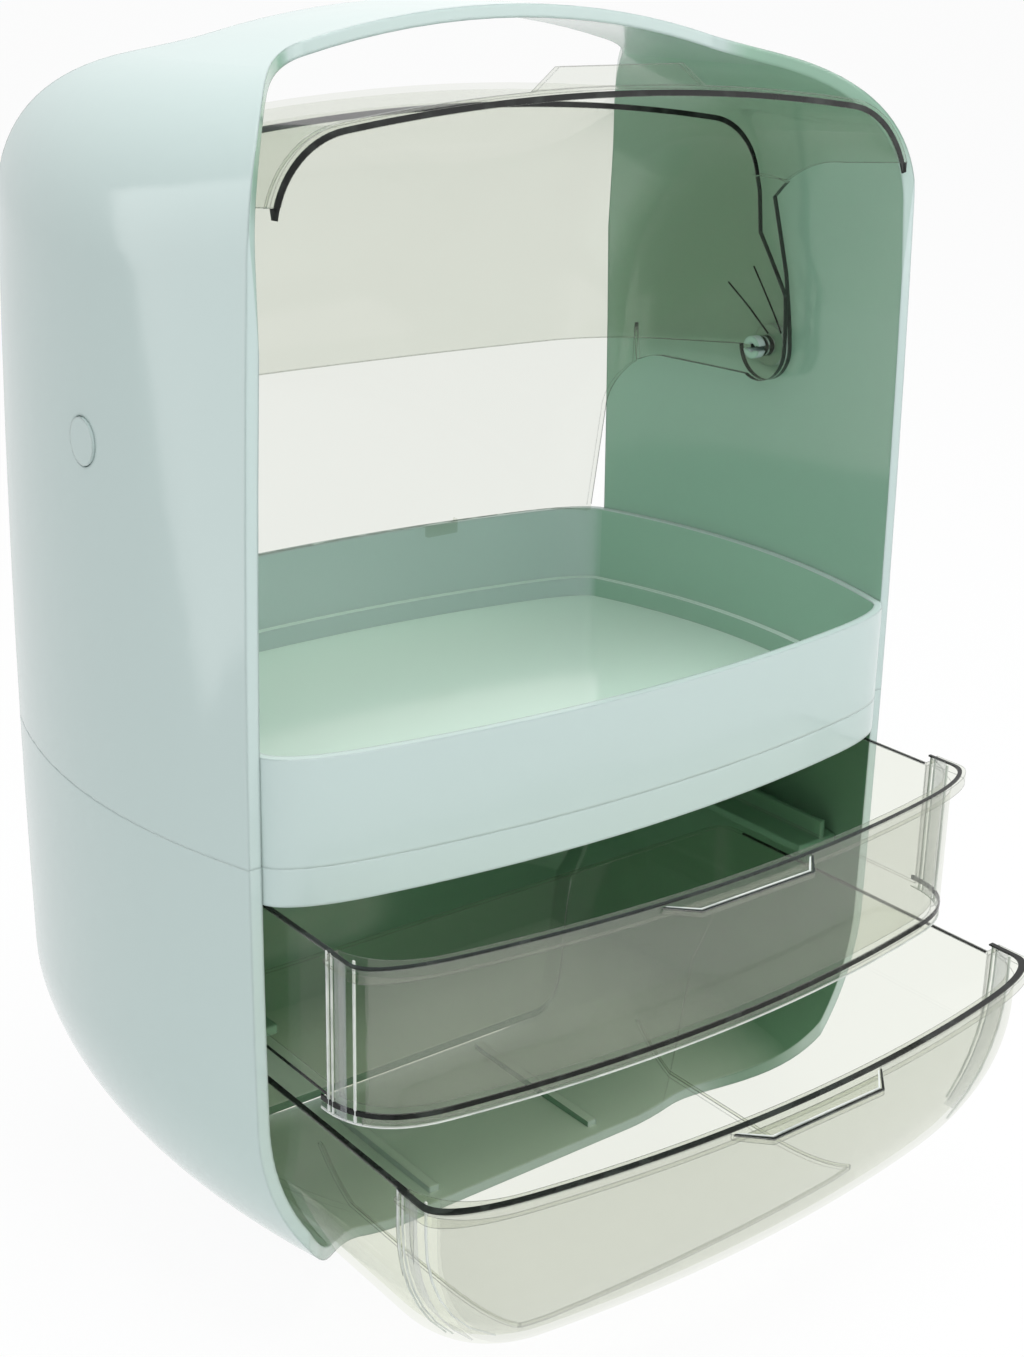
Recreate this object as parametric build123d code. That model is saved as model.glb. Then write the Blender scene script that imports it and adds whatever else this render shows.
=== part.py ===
from build123d import *
import math
import os

os.makedirs("parts", exist_ok=True)

# A cosmetic display case with a carrying arch, a fixed rear cover, a swinging front
# visor, an open tray and two drawers. X points right, +Y to the back, Z up, in
# millimetres. The pieces are drawn about the middle of the case, as they stand: visor
# swung open and both drawers pulled out. They are written out with the origin on the
# surface that the case stands on, under the middle of its overall size.

# Case outline, seen from the front
rim_width = 260.0
rim_top = 401.0
rim_bottom = 3.2
widest_height = 150.0
crown_radius = 313.0
shoulder_radius = 50.0
side_radius = 4300.0
foot_radius = 84.0
wall = 4.0

# Case depth, and how far its skin swells between the two rims
rim_depth = 150.0
side_bulge = 12.4
crown_bulge = 0.9
foot_bulge = 2.2
corner_growth = 8.0
parting_height = 171.0

# How the rims sweep in towards the handle and towards the foot
handle_half_depth = 24.8
handle_half_flat = 77.0
handle_sweep_end = 133.0
foot_half_depth = 40.0
foot_half_flat = 70.0
foot_sweep_end = 120.0
sweep_lean = 0.05
sweep_reach = 95.0

# Plan of the tray, the deck and the drawer fronts
front_reach = 97.0
corner_across = 95.0
corner_reach = 88.7
corner_setback = 1.0
slide_gap = 0.45

# Tray and deck
tray_top = 204.5
tray_wall = 3.0
tray_floor = 2.5
pan_drop = 5.0
pan_ledge = 5.0
lip_drop = 12.0
deck_plate = 2.5
ledge_width = 4.0
ledge_height = 5.0

# Pivot of the visor
pivot_y = -5.0
pivot_z = 282.5
pin_radius = 3.5
pin_clearance = 0.08
fit_gap = 0.02
button_radius = 7.1
button_depth = 2.6
button_proud = 0.4
button_gap = 0.3
boss_radius = 7.6
boss_gap = 0.6
snap_radius = 4.1
snap_length = 3.2
snap_slot = 1.8
snap_bore = 1.7
snap_depth = 9.0

# Covers: a dished hub beside the pivot, a flank, a rounded corner and a bowed crown
cover_wall = 2.0
cover_sag_radius = 700.0
hub_x = 132.4
hub_gap = 0.8
hub_flat_radius = 14.0
hub_cone_radius = 55.0
hub_cone_in = 4.4
hub_rim_radius = 61.0
hub_rim_in = 6.1
flank_lean = 0.24
ear_radius = 12.5
visor_radius = 95.0
visor_corner_x = 98.0
visor_span = 90.5
visor_swing = 95.4
rear_radius = 89.5
rear_corner_x = 101.0
rear_start_angle = 90.0
rear_ear_height = 20.0
rear_ear_top = 41.0

# Visor skirt, whose edge closes on the tray's front rim
visor_edge_half = 119.9
visor_edge_lean = 0.05
visor_edge_reach = 90.7
visor_edge_corner_x = 95.0
visor_edge_start = 52.0
visor_cusp = (53.0, 9.7)
visor_side_bend = (61.0, 24.0)
visor_side_end = (64.9, 50.0)
edge_lip = 1.2
edge_lip_height = 3.0
tab_base = 65.0
tab_tip = 46.0
tab_reach = 7.0
tab_wall = 2.2
lip_root = 2.0
seat_gap = 0.3

# Skirt of the rear cover, which stands on the tray's rear rim
rear_edge_half = 122.5
rear_edge_lean = 0.08
rear_edge_reach = 101.2
rear_edge_corner_x = 98.0
rear_side_level = 11.0
rear_side_bend = (66.0, 19.0)
rear_side_start = 48.0
rear_side_end = (74.0, 36.0)
rear_tip_reach = 80.0
rear_tab_width = 14.0
rear_tab_drop = 3.5
rear_tab_pitch = 55.0
rear_tab_y = 90.2
rear_tab_foot = 4.6

# Drawers
drawer_gap = 1.0
drawer_wall = 2.2
drawer_half = 122.0
drawer_back = 70.0
drawer_corner = 8.0
flange_setback = 62.0
flange_front = 74.0
front_rise = 2.4
belly_radius = 79.0
belly_steps = 6
back_clearance = 20.0
heel_drop = 0.5
drawer_reach = 95.0
drawer_front_half = 124.4
drawer_front_corner = (26.0, 36.0)
rim_half = 125.0
rim_corner = (30.0, 23.0)
rim_lip_height = 4.0
upper_floor = 108.5
upper_side_top = 154.8
upper_skirt = 3.0
lower_side_top = 96.5
upper_pull = 43.0
lower_pull = 77.5
grip_base = 62.0
grip_tip = 46.0
grip_reach = 8.5
grip_wall = 2.0
floor_rib = 1.2
floor_rib_height = 1.4
floor_frame_half = 72.0
floor_frame_front = 52.0
floor_frame_top = 30.0

# Runners of the upper drawer, rails of the lower one
runner_shelf = 3.0
runner_inner = 112.0
runner_front = -58.0
runner_back = 68.0
guide_wall = 2.0
guide_height = 7.0
guide_gap = 0.5
bracket_y = 38.0
bracket_width = 10.0
bracket_gap = 1.5
bracket_height = 7.0
rail_x = 36.0
rail_width = 4.0
rail_half_length = 35.0

# Fasteners and feet
screw_radius = 1.45
screw_head_radius = 2.8
screw_head_height = 2.0
screw_length = 11.0
runner_screw_x = 128.6
deck_screw_x = 126.0
deck_screw_y = 45.0
deck_boss_radius = 4.0
deck_boss_height = 13.0
back_rounding = 81.0
tongue_y = 34.0
tongue_width = 20.0
tongue_drop = 6.0
tongue_gap = 0.1
foot_x = 36.0
foot_y = 30.0
foot_pad_radius = 8.0
foot_pad_height = 2.6
foot_pad_gap = 0.1

# Values that follow from the ones above
half_depth = rim_depth / 2
inner_half = rim_width / 2 - wall
far = 400.0
bow_rise = front_reach - corner_reach
bow_radius = (corner_across**2 + bow_rise**2) / (2 * bow_rise)
deck_bottom = parting_height - lip_drop
pan_bottom = parting_height - pan_drop
pan_inset = tray_wall + slide_gap
outer_skin_x = rim_width / 2 + side_bulge - (pivot_z - widest_height) ** 2 / (2 * side_radius)
drawer_inset = wall + drawer_gap
lower_floor = rim_bottom + drawer_inset
runner_level = upper_floor - slide_gap
visor_edge_z = tray_top + seat_gap
stand_back = (lower_pull + grip_reach) / 2
over = 1.0


def block(x0, x1, y0, y1, z0, z1):
    corner = Pos((x0 + x1) / 2, (y0 + y1) / 2, (z0 + z1) / 2)
    return corner * Box(abs(x1 - x0), abs(y1 - y0), abs(z1 - z0))


def rod(x, y, z0, z1, radius):
    return Pos(x, y, (z0 + z1) / 2) * Cylinder(radius, z1 - z0)


def pivot_rod(x0, x1, radius):
    turned = Rot(0, 90, 0) * Cylinder(radius, x1 - x0)
    return Pos((x0 + x1) / 2, pivot_y, pivot_z) * turned


def mirrored(shape):
    return mirror(shape, about=Plane.YZ)


def circles_meet(centre_a, radius_a, centre_b, radius_b):
    """Upper meeting point of two circles in an upright plane of constant y."""
    across = centre_b - centre_a
    along = (radius_a**2 - radius_b**2 + across.length**2) / (2 * across.length)
    rise = math.sqrt(radius_a**2 - along**2)
    unit = across.normalized()
    normal = Vector(-unit.Z, 0, unit.X)
    found = [centre_a + unit * along + normal * side * rise for side in (1, -1)]
    return max(found, key=lambda point: point.Z)


def arc_about(centre, start, end):
    middle = ((start - centre) + (end - centre)).normalized() * (start - centre).length
    return ThreePointArc(start, centre + middle, end)


def lines_meet(point_a, along_a, point_b, along_b):
    """Meeting point of two lines in a level plane."""
    apart = point_b - point_a
    turn = along_a.X * along_b.Y - along_a.Y * along_b.X
    reach = (apart.X * along_b.Y - apart.Y * along_b.X) / turn
    return point_a + along_a * reach


def flip_x(point):
    return Vector(-point.X, point.Y, point.Z)


def case_section(y, inset):
    """Front outline of the case at depth y, drawn in by inset."""
    swell = 1 - (y / half_depth) ** 2
    half = rim_width / 2 + side_bulge * swell - inset
    top = rim_top + crown_bulge * swell - inset
    bottom = rim_bottom - foot_bulge * swell + inset
    shoulder = shoulder_radius + corner_growth * swell - inset
    foot = foot_radius + corner_growth * swell - inset
    side = side_radius - inset
    crown = crown_radius - inset
    crown_centre = Vector(0, y, top - crown)
    side_centre = Vector(half - side, y, widest_height)
    shoulder_centre = circles_meet(crown_centre, crown - shoulder, side_centre, side - shoulder)
    foot_drop = bottom + foot - widest_height
    foot_x_centre = side_centre.X + math.sqrt((side - foot) ** 2 - foot_drop**2)
    foot_centre = Vector(foot_x_centre, y, bottom + foot)
    ground = Vector(foot_x_centre, y, bottom)
    heel = side_centre + (foot_centre - side_centre).normalized() * side
    cheek = side_centre + (shoulder_centre - side_centre).normalized() * side
    brow = crown_centre + (shoulder_centre - crown_centre).normalized() * crown
    peak = Vector(0, y, top)
    right = [
        arc_about(foot_centre, ground, heel),
        arc_about(side_centre, heel, cheek),
        arc_about(shoulder_centre, cheek, brow),
    ]
    left = [
        arc_about(flip_x(shoulder_centre), flip_x(brow), flip_x(cheek)),
        arc_about(flip_x(side_centre), flip_x(cheek), flip_x(heel)),
        arc_about(flip_x(foot_centre), flip_x(heel), flip_x(ground)),
    ]
    crown_arc = [ThreePointArc(brow, peak, flip_x(brow))]
    return Wire(right + crown_arc + left + [Line(flip_x(ground), ground)])


def case_volume(inset, reach=half_depth):
    return Solid.make_loft([case_section(y, inset) for y in (-reach, 0, reach)])


def case_prism(inset):
    """Straight bar along Y with the rims' own outline."""
    face = Face(case_section(half_depth, inset))
    return extrude(face, amount=far, dir=(0, 1, 0), both=True)


def sweep_zone(flat, end, reach, start_z, upward, side, shift):
    """Space in front of (side -1) or behind (side 1) a rim that sweeps inwards."""
    rim = side * (half_depth - shift)
    waist = side * (reach - shift)
    outer = side * far
    third = (end - flat) / 3
    edges = [
        Line((-far, outer, start_z), (-far, rim, start_z)),
        Line((-far, rim, start_z), (-end, rim, start_z)),
        Bezier((-end, rim, start_z), (-end + third, rim, start_z),
               (-flat - third, waist, start_z), (-flat, waist, start_z)),
        Line((-flat, waist, start_z), (flat, waist, start_z)),
        Bezier((flat, waist, start_z), (flat + third, waist, start_z),
               (end - third, rim, start_z), (end, rim, start_z)),
        Line((end, rim, start_z), (far, rim, start_z)),
        Line((far, rim, start_z), (far, outer, start_z)),
        Line((far, outer, start_z), (-far, outer, start_z)),
    ]
    lean = Vector(0, side * sweep_lean, upward)
    return extrude(Face(Wire(edges)), amount=sweep_reach, dir=lean)


def handle_zone(side):
    return sweep_zone(handle_half_flat, handle_sweep_end, handle_half_depth,
                      rim_top + wall, -1, side, 0)


def foot_zone(side, shift=0.0):
    return sweep_zone(foot_half_flat, foot_sweep_end, foot_half_depth, -wall, 1, side, shift)


def plan_corner(side_gap, inset):
    """Front right corner of the plan outline, drawn in by inset, and its widest point."""
    end_y = half_depth - corner_setback
    end_x = inner_half + side_bulge * (1 - (end_y / half_depth) ** 2) - side_gap
    mid_x = inner_half + side_bulge - side_gap
    flank = (end_y**2 + (mid_x - end_x) ** 2) / (2 * (mid_x - end_x))
    brow_in = Vector(-corner_across, bow_radius - bow_rise, 0).normalized()
    flank_in = Vector(mid_x - flank - end_x, end_y, 0).normalized()
    start = Vector(corner_across, -corner_reach, 0) + brow_in * inset
    end = Vector(end_x, -end_y, 0) + flank_in * inset
    start_along = Vector(brow_in.Y, -brow_in.X, 0)
    end_along = Vector(flank_in.Y, -flank_in.X, 0)
    pull = lines_meet(start, start_along, end, end_along)
    return start, pull, end, Vector(mid_x - inset, 0, 0)


def flip_y(point):
    return Vector(point.X, -point.Y, point.Z)


def case_plan(side_gap, inset=0.0):
    """Plan outline that the tray and the deck share."""
    start, pull, end, middle = plan_corner(side_gap, inset)
    front = Vector(0, inset - front_reach, 0)
    edges = [
        ThreePointArc(flip_x(start), front, start),
        Bezier(start, pull, end),
        ThreePointArc(end, middle, flip_y(end)),
        Bezier(flip_y(end), flip_y(pull), flip_y(start)),
        ThreePointArc(flip_y(start), flip_y(front), flip_x(flip_y(start))),
        Bezier(flip_x(flip_y(start)), flip_x(flip_y(pull)), flip_x(flip_y(end))),
        ThreePointArc(flip_x(flip_y(end)), flip_x(middle), flip_x(end)),
        Bezier(flip_x(end), flip_x(pull), flip_x(start)),
    ]
    return Face(Wire(edges))


def column(face, z0, z1):
    return Pos(0, 0, z0) * extrude(face, amount=z1 - z0, dir=(0, 0, 1))


def drawer_outline(reach, half, corner, draw):
    """Level outline of a drawer with a bowed front, drawn in at the front and sides."""
    side, front, bow = half - draw, reach - draw, bow_radius - draw
    across, along = corner
    start_x = side - across
    drop = bow - math.sqrt(bow**2 - start_x**2)
    start = Vector(start_x, drop - front, 0)
    end = Vector(side, along - front, 0)
    pull = lines_meet(start, Vector(bow - drop, start_x, 0), end, Vector(0, 1, 0))
    back = Vector(side, drawer_back, 0)
    return Wire([
        ThreePointArc(flip_x(start), (0, -front, 0), start),
        Bezier(start, pull, end),
        Line(end, back),
        Line(back, flip_x(back)),
        Line(flip_x(back), flip_x(end)),
        Bezier(flip_x(end), flip_x(pull), flip_x(start)),
    ])


def drawer_wall_outline(draw):
    return drawer_outline(drawer_reach, drawer_front_half, drawer_front_corner, draw)


def drawer_trim(inset):
    """Column that narrows a drawer behind its front panel and rounds its back."""
    turn = Vector(drawer_half - drawer_corner, drawer_back - drawer_corner, 0)
    cheek = turn + Vector(drawer_corner - inset, 0, 0)
    heel = turn + Vector(0, drawer_corner - inset, 0)
    neck = Vector(drawer_half - inset, -flange_setback - inset, 0)
    wing = Vector(far, neck.Y, 0)
    front = Vector(far, -far, 0)
    outline = Wire([
        Line(flip_x(cheek), flip_x(neck)), Line(flip_x(neck), flip_x(wing)),
        Line(flip_x(wing), flip_x(front)), Line(flip_x(front), front), Line(front, wing),
        Line(wing, neck), Line(neck, cheek), arc_about(turn, cheek, heel),
        Line(heel, flip_x(heel)), arc_about(flip_x(turn), flip_x(heel), flip_x(cheek)),
    ])
    return column(Face(outline), -far, far)


def belly_bar(side, inset, bottom):
    """Bar along X whose profile rounds from the bowed face down to the bottom."""
    face_y = side * (front_reach - inset)
    turn_y = side * (front_reach - back_rounding)
    rounding = back_rounding - inset
    low = bottom + inset
    centre = Vector(0, turn_y, low + rounding)
    edges = [
        arc_about(centre, Vector(0, turn_y, low), Vector(0, face_y, low + rounding)),
        Line((0, face_y, low + rounding), (0, face_y, far)),
        Line((0, face_y, far), (0, -side * far, far)),
        Line((0, -side * far, far), (0, -side * far, low)),
        Line((0, -side * far, low), (0, turn_y, low)),
    ]
    return extrude(Face(Wire(edges)), amount=far, dir=(1, 0, 0), both=True)


def tongue_zone(gap):
    """Where the four tongues of the upper shell reach down into the lower one."""
    half = tongue_width / 2 + gap
    low = parting_height - tongue_drop - gap
    zones = [
        block(-far, far, y - half, y + half, low, parting_height + over)
        for y in (-tongue_y, tongue_y)
    ]
    return Part() + zones


def make_upper_shell():
    shell = Part() + case_volume(0) - case_volume(wall, half_depth + wall)
    shell &= block(-far, far, -far, far, parting_height, far + rim_top)
    for side in (-1, 1):
        shell -= handle_zone(side)
    skin = case_volume(wall / 2 + tongue_gap) - case_volume(wall, half_depth + wall)
    shell += skin & tongue_zone(0)
    for turn in (1, -1):
        boss = pivot_rod(hub_x + boss_gap, outer_skin_x - over, boss_radius)
        sink = pivot_rod(outer_skin_x - button_depth, far, button_radius + button_gap)
        bore = pivot_rod(hub_x, far, pin_radius + fit_gap)
        if turn < 0:
            boss, sink, bore = (mirrored(tool) for tool in (boss, sink, bore))
        shell = shell + boss - sink - bore
    return shell


def make_tray():
    tray = column(case_plan(slide_gap), parting_height, tray_top)
    tray += column(case_plan(slide_gap, pan_inset), pan_bottom, parting_height + over)
    rim_hollow = case_plan(slide_gap, tray_wall)
    tray -= column(rim_hollow, parting_height + pan_ledge, tray_top + over)
    pan_hollow = case_plan(slide_gap, pan_inset + tray_floor)
    return tray - column(pan_hollow, pan_bottom + tray_floor, tray_top + over)


def deck_screw_places():
    return [(sx * deck_screw_x, sy * deck_screw_y) for sx in (-1, 1) for sy in (-1, 1)]


def make_deck():
    deck = column(case_plan(slide_gap), deck_bottom, parting_height)
    hollow = column(case_plan(slide_gap, tray_wall), deck_bottom - over, parting_height + over)
    plate_low = pan_bottom - deck_plate
    deck -= hollow - block(-far, far, -far, far, plate_low, pan_bottom)
    for x, y in deck_screw_places():
        sink_z = pan_bottom - screw_head_height
        deck -= rod(x, y, plate_low - over, pan_bottom + over, screw_radius + fit_gap)
        deck -= rod(x, y, sink_z, pan_bottom + over, screw_head_radius + fit_gap)
    return deck


def back_panel(hollow):
    """Closed back of the lower shell, bowed like the drawer fronts."""
    seat = wall / 2
    panel = case_prism(seat + hollow) & column(case_plan(-seat, hollow), 0, deck_bottom)
    return panel & belly_bar(1, hollow, rim_bottom + seat)


def bracket_zone():
    top = runner_level - runner_shelf
    zones = [
        block(sx * (drawer_half + bracket_gap), sx * far, y - bracket_width / 2, y + bracket_width / 2,
              top - bracket_height, top)
        for sx in (-1, 1) for y in (-bracket_y, bracket_y)
    ]
    return Part() + zones


def runner_screw_places():
    return [(sx * runner_screw_x, y) for sx in (-1, 1) for y in (-bracket_y, bracket_y)]


def foot_places():
    return [(sx * foot_x, sy * foot_y) for sy in (-1, 1) for sx in (-1, 1)]


def make_lower_shell():
    outer = case_volume(0)
    cavity = case_volume(wall, half_depth + wall)
    shell = (Part() + outer - cavity) & block(-far, far, -far, far, -wall, parting_height)
    for side in (-1, 1):
        shell -= foot_zone(side)
    keep = foot_zone(1, tray_wall) + block(-far, far, half_depth - tray_wall, far, 0, far)
    shell += (back_panel(0) - back_panel(tray_wall)) & keep
    inside = case_volume(wall / 2)
    shell -= inside & tongue_zone(tongue_gap)
    seat = wall / 2
    ring = column(case_plan(-seat), deck_bottom - ledge_height, deck_bottom)
    ring -= column(case_plan(-seat, ledge_width + seat), 0, far)
    reach = flange_setback - drawer_gap
    ledge = ring & block(-far, far, -reach, reach, 0, far)
    boss_top = pan_bottom - deck_plate
    boss_low = boss_top - deck_boss_height
    bosses = [rod(x, y, boss_low, boss_top, deck_boss_radius) for x, y in deck_screw_places()]
    webs = [
        block(x, math.copysign(far, x), y - wall / 2, y + wall / 2, boss_low, deck_bottom)
        for x, y in deck_screw_places()
    ]
    shell += (Part() + [ledge] + bosses + webs + [bracket_zone()]) & inside
    rail_top = rim_bottom + drawer_inset - slide_gap
    for side in (-1, 1):
        x = side * rail_x
        shell += block(x - rail_width / 2, x + rail_width / 2, -rail_half_length,
                       rail_half_length, rim_bottom, rail_top)
    for x, y in deck_screw_places():
        low = pan_bottom - screw_length - over
        shell -= rod(x, y, low, far, screw_radius + fit_gap)
    for x, y in runner_screw_places():
        low = runner_level + screw_head_height - screw_length - over
        shell -= rod(x, y, low, runner_level, screw_radius + fit_gap)
    for x, y in foot_places():
        shell -= rod(x, y, -wall, foot_pad_height, foot_pad_radius + foot_pad_gap)
    return shell


def cover_edges(x_start, lean, start, reach, corner_x, height, inset, side):
    """Level section of a cover: flank, corner, crown, corner, flank."""
    sag = cover_sag_radius - inset
    brow_x = corner_x * sag / cover_sag_radius
    brow_drop = sag - math.sqrt(sag**2 - brow_x**2)
    first = Vector(x_start - inset, pivot_y + side * start, height)
    brow = Vector(brow_x, pivot_y + side * (reach - inset - brow_drop), height)
    peak = Vector(0, pivot_y + side * (reach - inset), height)
    flank_along = Vector(-lean, side, 0).normalized()
    brow_along = Vector(sag - brow_drop, -side * brow_x, 0).normalized()
    corner = lines_meet(brow, brow_along, first, flank_along)
    turn = corner - flank_along * (corner - brow).length
    return [
        Line(first, turn),
        TangentArc(turn, brow, tangent=flank_along),
        ThreePointArc(brow, peak, flip_x(brow)),
        TangentArc(flip_x(brow), flip_x(turn), tangent=flip_x(brow_along)),
        Line(flip_x(turn), flip_x(first)),
        Line(flip_x(first), first),
    ]


def cover_top(hub, reach, corner_x, inset, side):
    """Section level with the pivot, from rim to rim of the two hubs."""
    start = hub_rim_radius - inset
    x_start = hub - hub_rim_in + flank_lean * inset
    return cover_edges(x_start, flank_lean, start, reach, corner_x, pivot_z, inset, side)


def dome(hub, reach, corner_x, side, angle):
    band = Face(Wire(cover_top(hub, reach, corner_x, 0, side)))
    band -= Face(Wire(cover_top(hub, reach, corner_x, cover_wall, side)))
    axis = Axis((0, pivot_y, pivot_z), (side, 0, 0))
    return revolve(band, axis=axis, revolution_arc=angle)


def hub_plates(hub):
    """Two dished plates, one at each end of the pivot."""
    outer = [(hub, 0), (hub, hub_flat_radius), (hub - hub_cone_in, hub_cone_radius),
             (hub - hub_rim_in, hub_rim_radius)]
    inner = [(x - cover_wall, reach) for x, reach in reversed(outer)]
    loop = [Vector(x, pivot_y - reach, pivot_z) for x, reach in outer + inner]
    face = Face(Wire([Line(a, b) for a, b in zip(loop, loop[1:] + loop[:1])]))
    plate = revolve(face, axis=Axis((0, pivot_y, pivot_z), (1, 0, 0)), revolution_arc=360)
    return Part() + plate + mirrored(plate)


def skirt(top, edge):
    outer, inner = (
        Solid.make_loft([Wire(top(inset)), Wire(edge(inset))], ruled=True)
        for inset in (0, cover_wall)
    )
    return Part() + outer - inner


def side_zone(edges):
    """Bar along X over an outline given beside the pivot, as reach and height."""
    return extrude(Face(Wire(edges)), amount=far, dir=(1, 0, 0), both=True)


def beside(reach, height, side):
    return Vector(0, pivot_y + side * reach, pivot_z + height)


def swept_wedge(angle, side):
    """Quarter beside a hub, from level up to the given angle."""
    lean = math.radians(angle)
    corners = [(0, 0), (far, 0), (far, far), (far * math.cos(lean), far * math.sin(lean))]
    loop = [beside(reach, height, side) for reach, height in corners]
    return side_zone([Line(a, b) for a, b in zip(loop, loop[1:] + loop[:1])])


def visor_side_zone():
    places = (visor_cusp, visor_side_bend, visor_side_end)
    cusp, bend, end = (beside(reach, -drop, -1) for reach, drop in places)
    low = beside(visor_side_end[0], -far, -1)
    loop = [beside(visor_cusp[0], 0, -1), beside(far, 0, -1), beside(far, -far, -1)]
    return side_zone([
        Line(loop[0], cusp), ThreePointArc(cusp, bend, end), Line(end, low),
        Line(low, loop[2]), Line(loop[2], loop[1]), Line(loop[1], loop[0]),
    ])


def visor_ear_zone():
    reach, depth = visor_cusp
    loop = [beside(0, 0, -1), beside(0, -ear_radius, -1), beside(reach / 2, -ear_radius, -1),
            beside(reach, -depth, -1), beside(reach + over, -depth, -1),
            beside(reach + over, 0, -1)]
    return side_zone([Line(a, b) for a, b in zip(loop, loop[1:] + loop[:1])])


def visor_edge(inset, widen=0.0):
    """Level section along the visor's leading edge, when it is shut."""
    return cover_edges(visor_edge_half + widen, visor_edge_lean, visor_edge_start - inset,
                       visor_edge_reach + widen, visor_edge_corner_x, visor_edge_z, inset, -1)


def lip_tab(base, tip, reach, y, z_low, thickness):
    """Finger lip that stands out towards the front from y."""
    loop = [Vector(-base / 2, y + lip_root, z_low), Vector(-base / 2, y, z_low),
            Vector(-tip / 2, y - reach, z_low), Vector(tip / 2, y - reach, z_low),
            Vector(base / 2, y, z_low), Vector(base / 2, y + lip_root, z_low)]
    face = Face(Wire([Line(a, b) for a, b in zip(loop, loop[1:] + loop[:1])]))
    return extrude(face, amount=thickness, dir=(0, 0, 1))


def make_front_visor():
    panel = skirt(lambda inset: cover_top(hub_x, visor_radius, visor_corner_x, inset, -1),
                  visor_edge)
    rolled = Face(Wire(visor_edge(0, edge_lip))) - Face(Wire(visor_edge(cover_wall / 2)))
    panel += extrude(rolled, amount=edge_lip_height, dir=(0, 0, 1))
    side = visor_side_zone()
    hubs = hub_plates(hub_x)
    keep = swept_wedge(visor_span, -1) + visor_ear_zone() + side
    keep += pivot_rod(-far, far, ear_radius)
    visor = dome(hub_x, visor_radius, visor_corner_x, -1, visor_span)
    visor += (panel & side) + (hubs & keep)
    front_y = pivot_y - visor_edge_reach
    visor += lip_tab(tab_base, tab_tip, tab_reach, front_y, visor_edge_z, tab_wall)
    visor -= pivot_rod(-far, far, pin_radius + pin_clearance)
    return visor.rotate(Axis((0, pivot_y, pivot_z), (-1, 0, 0)), visor_swing)


def rear_side_zone():
    start = beside(rear_side_start, -rear_side_level, 1)
    bend = beside(rear_side_bend[0], -rear_side_bend[1], 1)
    end = beside(rear_side_end[0], -rear_side_end[1], 1)
    tip = beside(rear_tip_reach, tray_top - pivot_z, 1)
    root, top = beside(0, -rear_side_level, 1), beside(0, 0, 1)
    out_top, out_low = beside(far, 0, 1), beside(far, tray_top - pivot_z, 1)
    return side_zone([
        Line(top, root), Line(root, start), ThreePointArc(start, bend, end), Line(end, tip),
        Line(tip, out_low), Line(out_low, out_top), Line(out_top, top),
    ])


def rear_ear_zone():
    """Lug that carries the bore in front of the cover's own edge."""
    loop = [beside(0, 0, 1), beside(-ear_radius, 0, 1), beside(-ear_radius, rear_ear_height, 1),
            beside(0, rear_ear_top, 1)]
    return side_zone([Line(a, b) for a, b in zip(loop, loop[1:] + loop[:1])])


def rear_edge(inset):
    return cover_edges(rear_edge_half, rear_edge_lean, hub_rim_radius - inset,
                       rear_edge_reach, rear_edge_corner_x, tray_top, inset, 1)


def make_rear_cover():
    hub = hub_x - cover_wall - hub_gap
    panel = skirt(lambda inset: cover_top(hub, rear_radius, rear_corner_x, inset, 1),
                  rear_edge)
    side = rear_side_zone()
    shell = dome(hub, rear_radius, rear_corner_x, 1, 180 - rear_start_angle)
    keep = swept_wedge(180 - rear_start_angle, 1) + side + pivot_rod(-far, far, ear_radius)
    keep += rear_ear_zone()
    shell += (panel & side) + (hub_plates(hub) & keep)
    for x in (-rear_tab_pitch, rear_tab_pitch):
        low_x, high_x = x - rear_tab_width / 2, x + rear_tab_width / 2
        front_y = rear_tab_y - cover_wall
        foot_top = tray_top + cover_wall
        shell += block(low_x, high_x, front_y, rear_tab_y, tray_top - rear_tab_drop, foot_top)
        shell += block(low_x, high_x, front_y, front_y + rear_tab_foot, tray_top, foot_top)
    shell -= pivot_rod(-far, far, pin_radius + fit_gap)
    return shell


def make_pivot_pin():
    rear_face = hub_x - 2 * cover_wall - hub_gap
    tip = rear_face - fit_gap - snap_length
    pin = pivot_rod(outer_skin_x - button_depth, outer_skin_x + button_proud, button_radius)
    pin += pivot_rod(tip, outer_skin_x - button_depth, pin_radius)
    pin += pivot_rod(tip, rear_face - fit_gap, snap_radius)
    pin -= pivot_rod(tip - over, tip + snap_depth, snap_bore)
    slot = block(tip - over, tip + snap_depth, pivot_y - button_radius, pivot_y + button_radius,
                 pivot_z - snap_slot / 2, pivot_z + snap_slot / 2)
    return pin - slot


def upper_body(inset):
    body = column(Face(drawer_wall_outline(inset)), upper_floor + inset, far)
    return body & drawer_trim(inset)


def lower_body(inset):
    """Body whose front, sides and back round into its floor."""
    radius = belly_radius - inset
    bend_z = lower_floor + belly_radius
    rings = []
    for step in range(belly_steps + 1):
        angle = math.radians(90 * step / belly_steps)
        ring = drawer_wall_outline(inset + radius * (1 - math.cos(angle)))
        rings.append(Pos(0, 0, bend_z - radius * math.sin(angle)) * ring)
    body = column(Face(drawer_wall_outline(inset)), bend_z, far)
    back = belly_bar(1, back_clearance + inset, lower_floor - back_clearance - heel_drop)
    return (body + Solid.make_loft(rings)) & drawer_trim(inset) & back


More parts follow.
